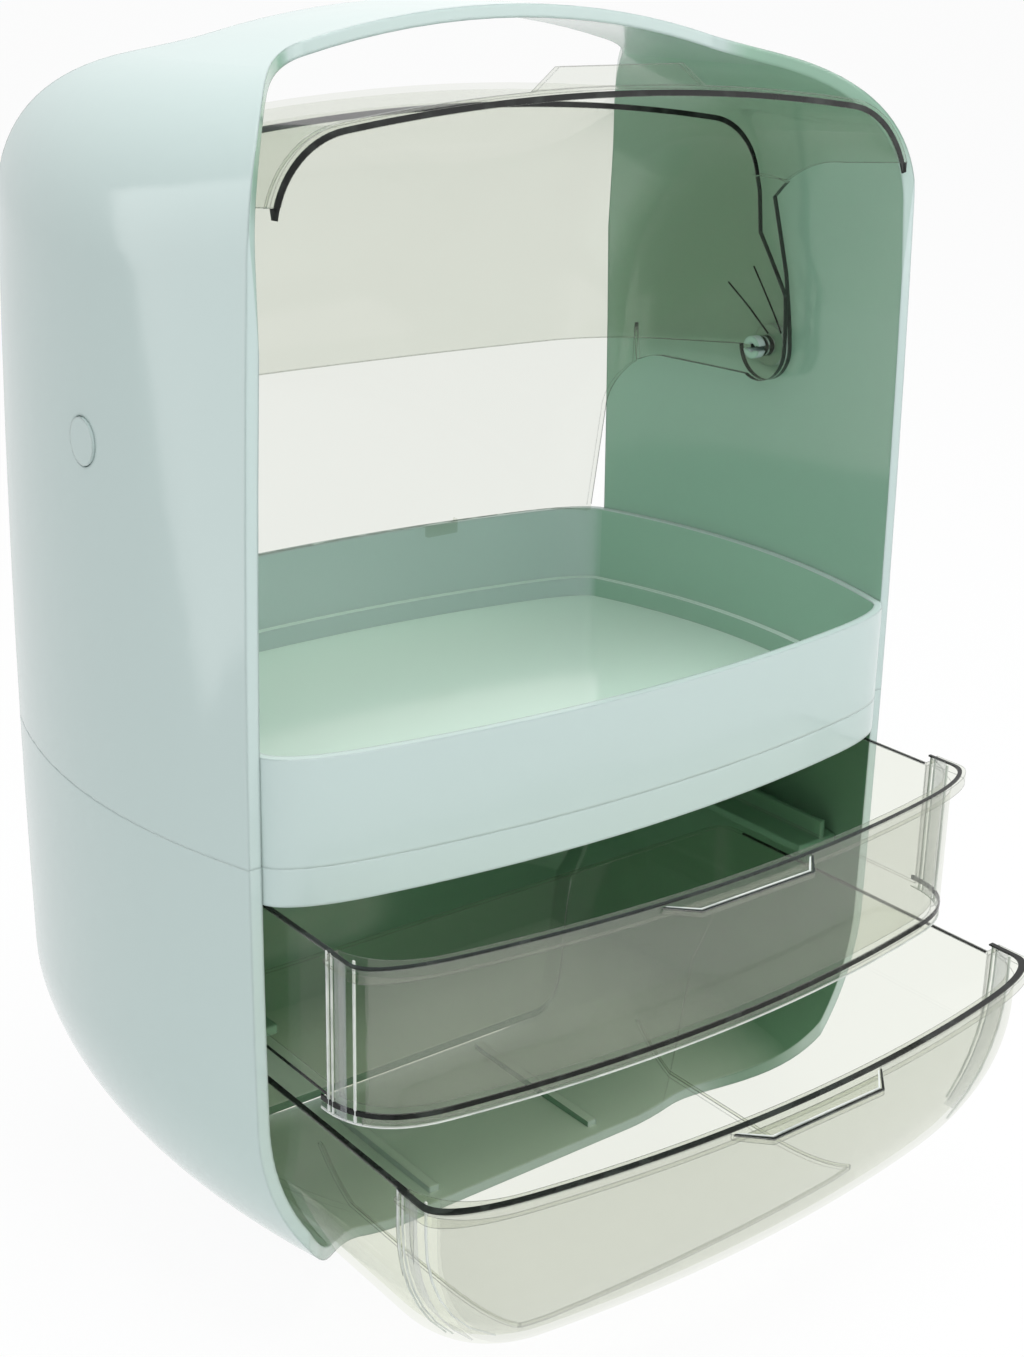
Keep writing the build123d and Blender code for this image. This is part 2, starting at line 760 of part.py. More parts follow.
def make_drawer(body, side_top):
    """Closed drawer with low sides, a higher front panel, and a lip round its rim."""
    front_top = side_top + front_rise
    hollow = body(drawer_wall)
    drawer = (body(0) - hollow) & block(-far, far, -far, far, 0, front_top)
    rim = Face(drawer_outline(front_reach, rim_half, rim_corner, 0))
    lip = column(rim, front_top - rim_lip_height, front_top) - hollow
    drawer += lip & block(-far, far, -far, -flange_setback, 0, far)
    drawer -= block(-far, far, -flange_setback - drawer_wall, far, side_top, far)
    return drawer + lip_tab(grip_base, grip_tip, grip_reach, -front_reach,
                            front_top - grip_wall, grip_wall)


def make_upper_drawer():
    """Upper drawer, whose front panel reaches below its floor."""
    drawer = make_drawer(upper_body, upper_side_top)
    low = upper_floor - upper_skirt
    band = column(Face(drawer_wall_outline(0)), low, upper_floor + over)
    band -= column(Face(drawer_wall_outline(drawer_wall)), low - over, far)
    drawer += band & block(-far, far, -far, -flange_front, 0, far)
    return Pos(0, -upper_pull, 0) * drawer


def make_lower_drawer():
    """Lower drawer, whose floor carries a low frame of ribs."""
    half = floor_rib / 2
    front_y = -floor_frame_front
    back_y = drawer_back - drawer_wall
    frame = [block(-floor_frame_half, floor_frame_half, front_y - half, front_y + half,
                   0, floor_frame_top)]
    for x in (-floor_frame_half, floor_frame_half):
        frame.append(block(x - half, x + half, front_y, back_y, 0, floor_frame_top))
    band = lower_body(drawer_wall / 2) - lower_body(drawer_wall + floor_rib_height)
    drawer = make_drawer(lower_body, lower_side_top) + ((Part() + frame) & band)
    return Pos(0, -lower_pull, 0) * drawer


def make_runner():
    """Right runner: a shelf under the drawer and a guide beside it."""
    shelf = block(runner_inner, far, runner_front, runner_back,
                  runner_level - runner_shelf, runner_level)
    guide_x = drawer_half + guide_gap
    guide = block(guide_x, guide_x + guide_wall, runner_front, runner_back, runner_level,
                  runner_level + guide_height)
    runner = (Part() + shelf + guide) & case_volume(wall + slide_gap)
    for y in (-bracket_y, bracket_y):
        runner -= rod(runner_screw_x, y, 0, far, screw_radius + fit_gap)
    return runner


def screw(x, y, head_top):
    """Self-tapping screw, head up."""
    neck = head_top - screw_head_height
    return rod(x, y, neck, head_top, screw_head_radius) + rod(
        x, y, head_top - screw_length, neck, screw_radius)


def make_deck_screws():
    return Part() + [screw(x, y, pan_bottom) for x, y in deck_screw_places()]


def make_runner_screws():
    top = runner_level + screw_head_height
    return Part() + [screw(x, y, top) for x, y in runner_screw_places()]


def make_parts():
    pin = make_pivot_pin()
    runner = make_runner()
    parts = {
        "upper_shell": make_upper_shell(),
        "lower_shell": make_lower_shell(),
        "deck": make_deck(),
        "tray": make_tray(),
        "rear_cover": make_rear_cover(),
        "front_visor": make_front_visor(),
        "pivot_pin_left": mirrored(pin),
        "pivot_pin_right": pin,
        "upper_drawer": make_upper_drawer(),
        "lower_drawer": make_lower_drawer(),
        "runner_left": mirrored(runner),
        "runner_right": runner,
        "deck_screws": make_deck_screws(),
        "runner_screws": make_runner_screws(),
    }
    names = ("front_left", "front_right", "rear_left", "rear_right")
    for name, (x, y) in zip(names, foot_places()):
        parts[f"foot_pad_{name}"] = rod(x, y, 0, foot_pad_height, foot_pad_radius)
    return parts


for name, drawn in make_parts().items():
    solid = Pos(0, stand_back, 0) * drawn
    print(name, solid.is_valid, len(solid.solids()), round(solid.volume))
    export_step(solid, f"parts/{name}.step")
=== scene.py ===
import math
import bpy
from mathutils import Matrix, Vector


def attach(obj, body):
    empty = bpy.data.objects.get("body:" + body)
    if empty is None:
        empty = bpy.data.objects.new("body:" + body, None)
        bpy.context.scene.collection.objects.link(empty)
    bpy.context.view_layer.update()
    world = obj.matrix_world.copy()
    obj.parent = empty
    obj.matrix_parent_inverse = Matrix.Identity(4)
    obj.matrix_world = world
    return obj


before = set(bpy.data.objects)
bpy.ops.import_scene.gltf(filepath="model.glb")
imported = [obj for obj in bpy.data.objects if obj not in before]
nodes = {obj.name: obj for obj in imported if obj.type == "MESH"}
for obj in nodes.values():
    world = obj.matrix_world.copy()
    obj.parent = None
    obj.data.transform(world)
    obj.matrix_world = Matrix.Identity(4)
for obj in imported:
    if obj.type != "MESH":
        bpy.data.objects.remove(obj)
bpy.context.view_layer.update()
standBack = 0.043  # how far the middle of the case lies behind the origin
print("frame loaded:", len(nodes), "nodes")


# A shader socket that Python maths can use: each operation adds its Math node
class Signal:
    def __init__(self, finish, socket):
        self.finish = finish
        self.socket = socket

    def combine(self, operation, first, second):
        return self.finish.node("ShaderNodeMath", {"operation": operation}, {0: first, 1: second})

    def __add__(self, other):
        return self.combine("ADD", self, other)

    def __sub__(self, other):
        return self.combine("SUBTRACT", self, other)

    def __rsub__(self, other):
        return self.combine("SUBTRACT", other, self)

    def __mul__(self, other):
        return self.combine("MULTIPLY", self, other)

    def __pow__(self, other):
        return self.combine("POWER", self, other)

    def __gt__(self, other):
        return self.combine("GREATER_THAN", self, other)

    def __lt__(self, other):
        return self.combine("LESS_THAN", self, other)

    __radd__ = __add__
    __rmul__ = __mul__


# One node tree: node() makes any node from its type, its settings and its sockets' values
class Finish:
    def __init__(self, owner):
        self.owner = owner
        owner.use_nodes = True
        self.tree = owner.node_tree
        self.tree.nodes.clear()

    def node(self, kind, settings, values, output=0):
        made = self.tree.nodes.new(kind)
        for name, value in settings.items():
            if name == "stops":
                for element, (place, shade) in zip(made.color_ramp.elements, value):
                    element.position = place
                    element.color = (shade, shade, shade, 1)
            else:
                setattr(made, name, value)
        for name, value in values.items():
            if isinstance(value, Signal):
                self.tree.links.new(value.socket, made.inputs[name])
            else:
                made.inputs[name].default_value = value
        return Signal(self, made.outputs[output] if made.outputs else None)

    def mixColour(self, factor, first, second):
        settings = {"data_type": "RGBA"}
        return self.node("ShaderNodeMix", settings, {0: factor, 6: first, 7: second}, 2)

    def noise(self, scale):
        place = self.node("ShaderNodeTexCoord", {}, {}, "Object")
        values = {"Vector": place, "Scale": scale, "Detail": 2.0}
        return self.node("ShaderNodeTexNoise", {}, values)

    def ramp(self, signal, low, high):
        settings = {"stops": ((low, 0.0), (high, 1.0))}
        return self.node("ShaderNodeValToRGB", settings, {"Fac": signal})

    def placeAlong(self, axis):
        place = self.node("ShaderNodeTexCoord", {}, {}, "Object")
        return self.node("ShaderNodeSeparateXYZ", {}, {0: place}, axis)

    def facing(self, axis):
        normal = self.node("ShaderNodeNewGeometry", {}, {}, "Normal")
        return self.node("ShaderNodeSeparateXYZ", {}, {0: normal}, axis)

    def size(self, signal):
        return self.node("ShaderNodeMath", {"operation": "ABSOLUTE"}, {0: signal})

    def softEdges(self, radius):
        return self.node("ShaderNodeBevel", {"samples": 4}, {"Radius": radius})

    def edgeShare(self, radius, gain):
        # How far a rounded edge would turn here: none on flats, more towards each edge
        flat = self.node("ShaderNodeNewGeometry", {}, {}, "Normal")
        turned = self.softEdges(radius)
        along = self.node("ShaderNodeVectorMath", {"operation": "DOT_PRODUCT"},
                          {0: flat, 1: turned}, "Value")
        settings = {"operation": "MULTIPLY", "use_clamp": True}
        return self.node("ShaderNodeMath", settings, {0: 1.0 - along, 1: gain})

    def close(self, shader, kind="ShaderNodeOutputMaterial"):
        self.node(kind, {}, {"Surface": shader})
        return self.owner

    def closePrincipled(self, values):
        return self.close(self.node("ShaderNodeBsdfPrincipled", {}, values))


def linear(red, green, blue):
    shades = []
    for part in (red, green, blue):
        share = part / 255
        shades.append(share / 12.92 if share < 0.04045 else ((share + 0.055) / 1.055) ** 2.4)
    return (*shades, 1.0)


# Mint gloss plastic of the case, tray and deck, with painted shade on its inner faces and painted
# light on its floors
mintPlastic = {
    "outside": linear(195, 212, 209),
    "cloud": linear(187, 206, 202),
    "cloudScale": 9.0,
    "cloudShare": 0.3,
    "roughness": 0.1,
    "roughnessSpread": 0.06,
    "grainScale": 900.0,
    "grainHeight": 0.00002,
    "edgeRadius": 0.0014,
    # Painted shade: the darker green of faces that look inward, into the case
    "inside": linear(155, 191, 171),
    "insideGain": 10.0,
    "insideRamp": (0.1, 0.35),
    # Painted shade: darker still on inward faces below the height that follows, and on the runners
    "bay": linear(104, 146, 120),
    "bayTop": 0.17,
    "bayShare": 0.8,
    # Painted light: a paler colour on the upward faces of the case floor
    "plate": linear(226, 241, 232),
    "floorTop": 0.03,
    "levelRamp": (0.7, 0.95),
    "runnerCloud": 20.0,
    "runnerShare": 0.2,
    # Painted light: a paler colour on the tray floor
    "pan": linear(214, 236, 225),
    "panTop": 0.2042,
    "panLevel": 0.6,
    "panGain": 12.0,
    "panRamp": (0.0, 0.3),
    "rearRamp": (0.3, 0.9),
}


def mintFinish(name, tint):
    look = mintPlastic
    finish = Finish(bpy.data.materials.new(name))
    cloud = finish.noise(look["cloudScale"])
    outside = finish.mixColour(cloud * look["cloudShare"], look["outside"], look["cloud"])
    # The tint function paints shade, and on the floors light, into the base colour
    base = tint(finish, outside)
    rough = cloud * look["roughnessSpread"] + look["roughness"]
    grain = finish.noise(look["grainScale"])
    relief = finish.node("ShaderNodeBump", {}, {
        "Strength": 0.15, "Distance": look["grainHeight"], "Height": grain,
        "Normal": finish.softEdges(look["edgeRadius"])})
    return finish.closePrincipled({
        "Base Color": base, "Roughness": rough, "IOR": 1.5, "Normal": relief})


def inwardFacing(finish, gain):
    # Above zero where a face looks back towards the middle of the case
    back = finish.placeAlong(1) - standBack
    outward = finish.placeAlong(0) * finish.facing(0) + back * finish.facing(1)
    return outward * -gain


def shellPaintedLight(finish, outside):
    look = mintPlastic
    # Painted shade on faces that look inward, darker still low down inside; painted light on the
    # floor's upward faces
    inward = inwardFacing(finish, look["insideGain"])
    deep = finish.placeAlong(2) < look["bayTop"]
    inner = finish.mixColour(deep * look["bayShare"], look["inside"], look["bay"])
    base = finish.mixColour(finish.ramp(inward, *look["insideRamp"]), outside, inner)
    # Painted light on the floor's upward faces
    level = finish.ramp(finish.facing(2), *look["levelRamp"])
    floor = level * (finish.placeAlong(2) < look["floorTop"])
    return finish.mixColour(floor, base, look["plate"])


def runnerPaintedShade(finish, outside):
    # The runners stand deep inside, so they get only painted shade: the deep dark colour clouded
    # with the inside's painted shade, none of the outside colour
    look = mintPlastic
    share = finish.noise(look["runnerCloud"]) * look["runnerShare"]
    return finish.mixColour(share, look["bay"], look["inside"])


def trayPaintedLight(finish, outside):
    look = mintPlastic
    inward = inwardFacing(finish, look["panGain"])
    low = finish.placeAlong(2) < look["panTop"]
    # The rear wall looks to the light, so it keeps the outside colour without the painted shade
    turned = finish.ramp(0.0 - finish.facing(1), *look["rearRamp"])
    # Painted shade on the tray's inner walls below the rim
    walls = finish.ramp(inward, *look["panRamp"]) * low * (1.0 - turned)
    # Painted light on the tray floor
    floor = (finish.facing(2) > look["panLevel"]) * low
    base = finish.mixColour(walls, outside, look["inside"])
    return finish.mixColour(floor, base, look["pan"])


# The cut edges of the clear pieces, near-black: partly the smoke of the whole sheet seen through
# its thickness, partly painted shade for the darkness that refraction gives these edges
smokyEdge = {
    "shade": linear(20, 23, 21),
    "streak": linear(72, 78, 74),
    "streakScale": 120.0,
    "streakRamp": (0.5, 0.7),
    "streakShare": 0.4,
    "roughness": 0.12,
    "roughnessSpread": 0.1,
    "gloss": {"Specular IOR Level": 0.2},
    "pivot": (0.038, 0.2825),
    "hubReach": 0.0605,
    "hubSide": 0.118,
    "hubTurn": 0.3,
    "hubShare": 0.95,
}

# Painted highlights: pale strips on upright edges where the light glints
brightEdge = {
    "shade": linear(222, 226, 223),
    "streak": linear(170, 178, 174),
    "streakScale": 90.0,
    "streakRamp": (0.45, 0.65),
    "streakShare": 0.6,
    "roughness": 0.08,
    "roughnessSpread": 0.1,
    "gloss": {"IOR": 1.5},
}


def edgeFinish(name, look):
    finish = Finish(bpy.data.materials.new(name))
    streak = finish.ramp(finish.noise(look["streakScale"]), *look["streakRamp"])
    base = finish.mixColour(streak * look["streakShare"], look["shade"], look["streak"])
    rough = streak * look["roughnessSpread"] + look["roughness"]
    return finish.closePrincipled({"Base Color": base, "Roughness": rough, **look["gloss"]})


# Smoky clear plastic of the covers and drawers
clearPlastic = {
    "body": linear(172, 173, 166),
    # Painted shade, partly smoke: the edges of the sheets turn this greyer colour and more solid,
    # for the darkness refraction gives them
    "edge": linear(112, 119, 111),
    "coverTint": linear(246, 247, 244),
    "drawerTint": linear(249, 250, 246),
    "cloudScale": 30.0,
    "haze": 0.008,
    "panelHaze": 0.2,
    "panelLine": -0.02,
    "panelFacing": -0.6,
    "edgeRadius": 0.0007,
    "edgeGain": 4.0,
    "edgeShare": 0.75,
    "tabTop": 0.207,
    "roughness": 0.05,
    "roughnessSpread": 0.04,
    "mirror": 0.015,
    "glance": 0.4,
    "glancePower": 5.0,
}


def clearFinish(name, tint, darkFaces=None, frontFaces=None):
    look = clearPlastic
    finish = Finish(bpy.data.materials.new(name))
    # The edge share paints the sheet edges greyer and more solid: partly smoke, partly painted
    # shade
    edge = finish.edgeShare(look["edgeRadius"], look["edgeGain"])
    if darkFaces:  # the tabs under the rear cover stand between white walls
        edge = edge * (finish.placeAlong(2) > look["tabTop"])
    base = finish.mixColour(edge, look["body"], look["edge"])
    solid = edge * look["edgeShare"]
    if darkFaces:
        # Painted shade, partly smoke: the chosen faces take the near-black edge colour and turn
        # solid
        dark = darkFaces(finish)
        base = finish.mixColour(dark, base, smokyEdge["shade"])
        solid = solid + dark
    cloud = finish.noise(look["cloudScale"])
    gloss = finish.node("ShaderNodeBsdfPrincipled", {}, {
        "Base Color": base, "Roughness": cloud * look["roughnessSpread"] + look["roughness"],
        "IOR": 1.5, "Normal": finish.softEdges(look["edgeRadius"])})
    through = finish.node("ShaderNodeBsdfTransparent", {}, {"Color": tint})
    mirror = finish.node("ShaderNodeBsdfGlossy", {}, {
        "Color": (1, 1, 1, 1), "Roughness": look["roughness"]})
    glance = finish.node("ShaderNodeLayerWeight", {}, {"Blend": 0.5}, "Facing")
    front = 1.0 - finish.node("ShaderNodeNewGeometry", {}, {}, "Backfacing")
    glance = (glance ** look["glancePower"] * look["glance"] + look["mirror"]) * front
    sheet = finish.node("ShaderNodeMixShader", {}, {0: glance, 1: through, 2: mirror})
    solid = solid + cloud * look["haze"]
    if frontFaces:
        solid = solid + frontFaces(finish)
    return finish.close(finish.node("ShaderNodeMixShader", {}, {0: solid, 1: sheet, 2: gloss}))


def cutFaces(finish):
    # Cut edges of the hub plates, painted near-black like the other cut edges: round the pivot at
    # the sides, yet not facing sideways
    look = smokyEdge
    outer = finish.size(finish.placeAlong(0)) > look["hubSide"]
    across = finish.size(finish.facing(0)) < look["hubTurn"]
    pivotY, pivotZ = look["pivot"]
    apart = (finish.placeAlong(1) - pivotY) ** 2.0 + (finish.placeAlong(2) - pivotZ) ** 2.0
    return outer * across * (apart < look["hubReach"] ** 2) * look["hubShare"]


def frontPanel(finish):
    # The thick front panels look milkier than the floors and sides
    look = clearPlastic
    panel = finish.placeAlong(1) < look["panelLine"]
    return (finish.facing(1) < look["panelFacing"]) * panel * look["panelHaze"]


# The flange's flat face: a pale, partly see-through painted reflection of the room
flangeVeil = {
    "shade": linear(196, 199, 203),
    "cloudScale": 60.0,
    "roughness": 0.05,
    "roughnessSpread": 0.1,
    "alpha": 0.15,
    "alphaSpread": 0.2,
}


def reflectionFinish():
    look = flangeVeil
    finish = Finish(bpy.data.materials.new("flangeVeil"))
    cloud = finish.noise(look["cloudScale"])
    return finish.closePrincipled({
        "Base Color": look["shade"],
        "Roughness": cloud * look["roughnessSpread"] + look["roughness"],
        "Alpha": cloud * look["alphaSpread"] + look["alpha"]})


screwSteel = {
    "shade": linear(190, 190, 192),
    "streakScale": 300.0,
    "roughness": 0.25,
    "roughnessSpread": 0.2,
    "edgeRadius": 0.0003,
}


def steelFinish():
    look = screwSteel
    finish = Finish(bpy.data.materials.new("screwSteel"))
    streak = finish.noise(look["streakScale"])
    return finish.closePrincipled({
        "Base Color": look["shade"], "Metallic": 1.0,
        "Roughness": streak * look["roughnessSpread"] + look["roughness"],
        "Normal": finish.softEdges(look["edgeRadius"])})


footPad = {
    "shade": linear(205, 212, 208),
    "speck": linear(190, 199, 195),
    "speckScale": 700.0,
    "speckHeight": 0.00005,
}


def padFinish():
    look = footPad
    finish = Finish(bpy.data.materials.new("footPad"))
    speck = finish.noise(look["speckScale"])
    base = finish.mixColour(speck, look["shade"], look["speck"])
    relief = finish.node("ShaderNodeBump", {}, {
        "Strength": 0.3, "Distance": look["speckHeight"], "Height": speck})
    return finish.closePrincipled({"Base Color": base, "Roughness": 0.7, "Normal": relief})


def smoothFaces(mesh):
    mesh.shade_smooth()
    mesh.set_sharp_from_angle(angle=math.radians(32))


shell = mintFinish("mintShell", shellPaintedLight)
tray = mintFinish("mintTray", trayPaintedLight)
runner = mintFinish("mintRunner", runnerPaintedShade)
cover = clearFinish("clearCover", clearPlastic["coverTint"], cutFaces)
drawer = clearFinish("clearDrawer", clearPlastic["drawerTint"], frontFaces=frontPanel)
smokeAndShade = edgeFinish("smokyEdge", smokyEdge)
highlightPaint = edgeFinish("brightEdge", brightEdge)
reflectionPaint = reflectionFinish()
steel = steelFinish()
pad = padFinish()
finishes = {
    "upper_shell": shell, "lower_shell": shell, "deck": tray, "tray": tray,
    "pivot_pin_left": shell, "pivot_pin_right": shell,
    "runner_left": runner, "runner_right": runner,
    "rear_cover": cover, "front_visor": cover,
    "upper_drawer": drawer, "lower_drawer": drawer,
    "deck_screws": steel, "runner_screws": steel,
}
for name, piece in nodes.items():
    piece.data.materials.clear()
    piece.data.materials.append(finishes.get(name, pad))
    smoothFaces(piece.data)
print("finishes set")

# The added pieces are drawn in millimetres about the middle of the case
perMetre = 1000
# How far a thin line stands proud of the face that it marks, and how deep it reaches
thinLine = {"proud": 0.06, "depth": 0.5}


def addPiece(name, corners, faces, finish, body):
    places = [(x / perMetre, y / perMetre + standBack, z / perMetre) for x, y, z in corners]
    mesh = bpy.data.meshes.new(name)
    mesh.from_pydata(places, [], faces)
    mesh.materials.append(finish)
    smoothFaces(mesh)
    piece = bpy.data.objects.new(name, mesh)
    bpy.context.scene.collection.objects.link(piece)
    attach(piece, body)


def addBar(name, corners, finish, body):
    # A closed bar through sections of four corners each
    faces = []
    last = len(corners) - 4
    for base in range(0, last, 4):
        for side in range(4):
            following = (side + 1) % 4
            faces.append((base + side, base + following, base + 4 + following, base + 4 + side))
    faces += [(3, 2, 1, 0), (last, last + 1, last + 2, last + 3)]
    addPiece(name, corners, faces, finish, body)


def conic(start, pull, end, weight, count):
    # From start to end towards pull: weight 1 is a plain curve, cos of half the turn an arc
    points = []
    for step in range(count + 1):
        t = step / count
        parts = ((1 - t) ** 2, 2 * weight * t * (1 - t), t ** 2)
        total = sum(parts)
        sums = (sum(share * point[i] for share, point in zip(parts, (start, pull, end)))
                for i in (0, 1))
        points.append(tuple(value / total for value in sums))
    return points


def addBand(name, outer, inner, low, high, finish, body, turn=None):
    # A band between two open outlines of as many points
    corners = []
    for (ax, ay), (bx, by) in zip(outer, inner):
        corners += [(ax, ay, low), (bx, by, low), (bx, by, high), (ax, ay, high)]
    if turn:
        corners = [turn(corner) for corner in corners]
    addBar(name, corners, finish, body)


# Drawer rims, sills, flanges and finger lips as thin strips: the near-black ones partly smoke,
# partly painted shade, the pale ones painted highlights and the flange face a painted reflection. A
# side is its sign and its rim's width, a flange strip its place along the drawer and its thickness,
# a grip strip how far it is drawn in.
drawerLines = {
    "bow": (95.0 ** 2 + 8.3 ** 2) / 16.6,
    "bowSteps": 20,
    "cornerSteps": 14,
    "lip": {"reach": 97.0, "half": 125.0, "corner": (30.0, 23.0)},
    "wall": {"reach": 95.0, "half": 124.4, "corner": (26.0, 36.0)},
    "wallEnd": 100.0,
    "sideHalf": 122.0,
    "sideInset": 0.5,
    "flange": -62.0,
    "flangeTop": 0.1,
    "flangeFoot": 0.6,
    "back": 58.0,
    "sillBand": (-0.1, 1.5),
    "skirtHeight": 0.4,
    "bellySteps": 7,
    "bellyStep": 5.5,
    "upper": {"pull": 43.0, "top": 157.2, "sideTop": 154.8, "rim": (1.0, 2.1), "sill": 108.5,
              "skirt": 105.5, "sides": {"Left": (-1, 1.9), "Right": (1, 1.1)}},
    "lower": {"pull": 77.5, "top": 98.9, "sideTop": 96.5, "rim": (0.8, 2.7),
              "belly": 79.0, "bend": 87.4, "sides": {"Left": (-1, 2.2), "Right": (1, 1.3)}},
    # The pale flange strips are painted highlights
    "flangeStrips": {"Back": (-62.2, 0.7, highlightPaint), "Mid": (-64.2, 0.4, highlightPaint),
                     "Face": (-65.0, 5.0, reflectionPaint), "Front": (-71.5, 0.8, highlightPaint)},
    "grip": ((31.0, 97.0), (23.0, 105.5)),
    # The Shine strip is a painted highlight
    "gripStrips": {"Rim": (0.05, 0.8, smokeAndShade), "Shine": (1.2, 1.8, highlightPaint)},
}


def drawerFront(outline, draw, pull):
    look = drawerLines
    shape = look[outline]
    side, front = shape["half"] - draw, shape["reach"] - draw
    bow = look["bow"] - draw
    across, along = shape["corner"]
    startX = side - across
    drop = bow - math.sqrt(bow ** 2 - startX ** 2)
    start = (startX, drop - front)
    end = (side, along - front)
    pullY = start[1] + (side - startX) / (bow - drop) * startX
    right = conic(start, (side, pullY), end, 1.0, look["cornerSteps"])
    if outline == "lip":  # the rim runs on to the flange
        right.append((side, look["flange"]))
    steps = look["bowSteps"]
    middle = [(x, bow - math.sqrt(bow ** 2 - x ** 2) - front)
              for x in (startX * step / steps for step in range(1 - steps, steps))]
    left = [(-x, y) for x, y in reversed(right)]
    return [(x, y - pull) for x, y in left + middle + right]


def flangePath(place):
    # How far the wall is drawn in, and its height, from the rim down
    look = drawerLines
    path = [(0.0, place["top"] - look["flangeTop"])]
    if "skirt" in place:
        return path + [(0.0, place["skirt"] + look["flangeFoot"])]
    for step in range(look["bellySteps"]):
        angle = math.radians(look["bellyStep"] * step)
        path.append((place["belly"] * (1 - math.cos(angle)),
                     place["bend"] - place["belly"] * math.sin(angle)))
    return path


def sideAt(draw, along, pull):
    # Half width of the drawn-in wall outline at one place along the drawer
    points = drawerFront("wall", draw, pull)
    end = (drawerLines["wall"]["half"] - draw, drawerLines["wallEnd"])
    right = points[len(points) // 2:] + [end]
    for (ax, ay), (bx, by) in zip(right, right[1:]):
        if ay <= along <= by:
            return ax + (bx - ax) * (along - ay) / (by - ay)
    return None


def turnUpright(corner):
    across, height, along = corner
    return (across, along, height)


def addFlange(name, label, side, place, body):
    for part, (along, thick, finish) in drawerLines["flangeStrips"].items():
        front, rear = along - thick - place["pull"], along - place["pull"]
        outer, inner = [], []
        for draw, level in flangePath(place):
            face = sideAt(draw, along - thick / 2 - place["pull"], place["pull"])
            if face is None:  # the belly has drawn the wall back past this strip
                break
            outer.append((side * (face + thinLine["proud"]), level))
            inner.append((side * (face - thinLine["depth"]), level))
        addBand(name + "Flange" + part + label, outer, inner, front, rear, finish, body,
                turnUpright)


def gripOutline(draw, pull):
    (baseHalf, baseY), (tipHalf, tipY) = drawerLines["grip"]
    right = [(tipHalf - draw / 2, draw - tipY - pull), (baseHalf - draw, -baseY - pull)]
    return [(-x, y) for x, y in reversed(right)] + right


def addDrawerLines(name):
    look = drawerLines
    place = look[name]
    body = name + "_drawer"
    pull, proud, depth = place["pull"], thinLine["proud"], thinLine["depth"]
    low, high = place["top"] - depth, place["top"] + proud
    rim = [drawerFront("lip", draw, pull) for draw in place["rim"]]
    addBand(name + "RimLine", *rim, low, high, smokeAndShade, body)
    ends = (look["flange"] - pull, look["back"] - pull)
    for label, (side, width) in place["sides"].items():
        outer, inner = ([(side * (look["sideHalf"] - draw), y) for y in ends]
                        for draw in (look["sideInset"], width))
        addBand(name + "SideLine" + label, outer, inner, place["sideTop"] - depth,
                place["sideTop"] + proud, smokeAndShade, body)
        if "sill" in place and side < 0:
            outer, inner = ([(side * (look["sideHalf"] - draw), y) for y in ends]
                            for draw in (-proud, depth))
            addBand(name + "SideSill" + label, outer, inner, place["sill"] - proud,
                    place["sill"] + depth, smokeAndShade, body)
        addFlange(name, label, side, place, body)
    for part, (near, far, finish) in look["gripStrips"].items():
        addBand(name + "Grip" + part, gripOutline(near, pull), gripOutline(far, pull),
                low, high, finish, body)
    if "sill" in place:
        # The pale skirt line is a painted highlight
        wall = [drawerFront("wall", draw, pull) for draw in (-proud, depth)]
        addBand(name + "SkirtLine", *wall, place["skirt"],
                place["skirt"] + look["skirtHeight"], highlightPaint, body)
        foot, head = look["sillBand"]
        addBand(name + "SillLine", *wall, place["sill"] + foot, place["sill"] + head,
                smokeAndShade, body)


addDrawerLines("upper")
addDrawerLines("lower")
print("drawer lines made")


# Cut edges of the covers, near-black strips that are partly smoke and partly painted shade: the
# visor's is drawn shut and swung up with it
coverLines = {
    "pivot": (-5.0, 282.5),
    "sag": 700.0,
    "browSteps": 20,
    "cornerSteps": 16,
    "draws": (0.15, 1.85),
    "visor": {"half": 119.26, "narrow": 1.0, "lean": 0.05, "start": 64.9, "reach": 90.7,
              "cornerX": 95.0, "skip": 2, "level": 204.8, "swing": 95.4},
    "rear": {"half": 123.5, "narrow": 0.76, "lean": 0.24, "start": 61.0, "reach": 89.5,
             "cornerX": 101.0, "skip": 0},
}


def coverEdge(place, draw):
    sag = coverLines["sag"] - draw
    browX = place["cornerX"] * sag / coverLines["sag"]
    peak = place["reach"] - draw
    browY = peak - sag + math.sqrt(sag ** 2 - browX ** 2)
    first = Vector((place["half"] - place["narrow"] * draw, place["start"]))
    brow = Vector((browX, browY))
    flank = Vector((-place["lean"], 1)).normalized()
    along = Vector((sag - (peak - browY), -browX)).normalized()
    apart = first - brow
    reach = (apart.x * flank.y - apart.y * flank.x) / (along.x * flank.y - along.y * flank.x)
    corner = brow + along * reach
    turn = corner - flank * reach
    half = math.acos(-flank.dot(along)) / 2
    curve = conic(turn, corner, brow, math.cos(half), coverLines["cornerSteps"])
    right = [tuple(first)] + curve[place["skip"]:]
    steps = coverLines["browSteps"]
    middle = [(x, peak - sag + math.sqrt(sag ** 2 - x ** 2))
              for x in (browX * step / steps for step in range(steps - 1, -steps, -1))]
    return right + middle + [(-x, y) for x, y in reversed(right)]


def swingUp(corner):
    x, reach, z = corner
    pivotY, pivotZ = coverLines["pivot"]
    angle = math.radians(coverLines["visor"]["swing"])
    y, z = -reach, z - pivotZ
    return (x, y * math.cos(angle) + z * math.sin(angle) + pivotY,
            z * math.cos(angle) - y * math.sin(angle) + pivotZ)


def standUp(corner):
    x, reach, depth = corner
    return (x, coverLines["pivot"][0] + depth, coverLines["pivot"][1] + reach)


